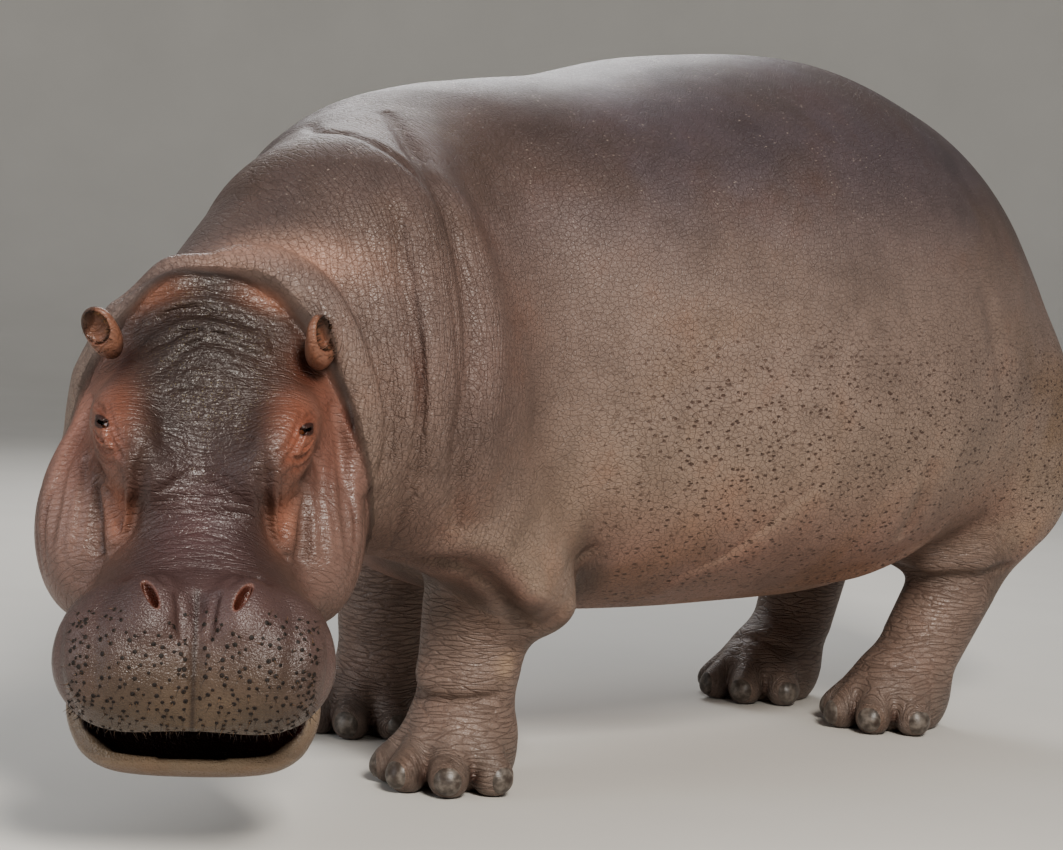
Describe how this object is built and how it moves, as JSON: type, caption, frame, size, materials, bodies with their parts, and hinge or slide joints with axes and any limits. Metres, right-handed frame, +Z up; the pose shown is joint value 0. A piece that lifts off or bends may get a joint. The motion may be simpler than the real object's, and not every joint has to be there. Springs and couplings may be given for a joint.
{
  "type": "hippopotamus",
  "caption": "Still, life-size adult hippopotamus standing on all fours, head low and turned to its left, mouth slightly open, for a museum display.",
  "frame": {"origin": "on the floor, under the middle of the whole box", "axes": "+Z up, the animal faces -Y with its left side towards +X; its length runs along Y"},
  "size_m": [1.3514, 3.0088, 1.5229],
  "materials": {
    "hide": "dry, bare, finely creased grey-brown skin with dark pits",
    "face": "damp dark purple-brown skin, orange-pink round the eyes and ears",
    "lip": "wet yellowish-tan lower lip over a dark mouth",
    "eye": "wet, glossy dark brown",
    "nail": "worn, half-gloss grey horn"
  },
  "bodies": {
    "root": {"head": "face", "jaw": "lip", "neck": "hide", "trunk": "hide", "tail": "hide", "ear_left": "face", "ear_right": "face", "leg_fore_left": "hide", "leg_fore_right": "hide", "leg_hind_left": "hide", "leg_hind_right": "hide", "eye_left": "eye", "eye_right": "eye", "nail_fore_left_1": "nail", "nail_fore_left_2": "nail", "nail_fore_left_3": "nail", "nail_fore_left_4": "nail", "nail_fore_right_1": "nail", "nail_fore_right_2": "nail", "nail_fore_right_3": "nail", "nail_fore_right_4": "nail", "nail_hind_left_1": "nail", "nail_hind_left_2": "nail", "nail_hind_left_3": "nail", "nail_hind_left_4": "nail", "nail_hind_right_1": "nail", "nail_hind_right_2": "nail", "nail_hind_right_3": "nail", "nail_hind_right_4": "nail"}
  },
  "joints": []
}
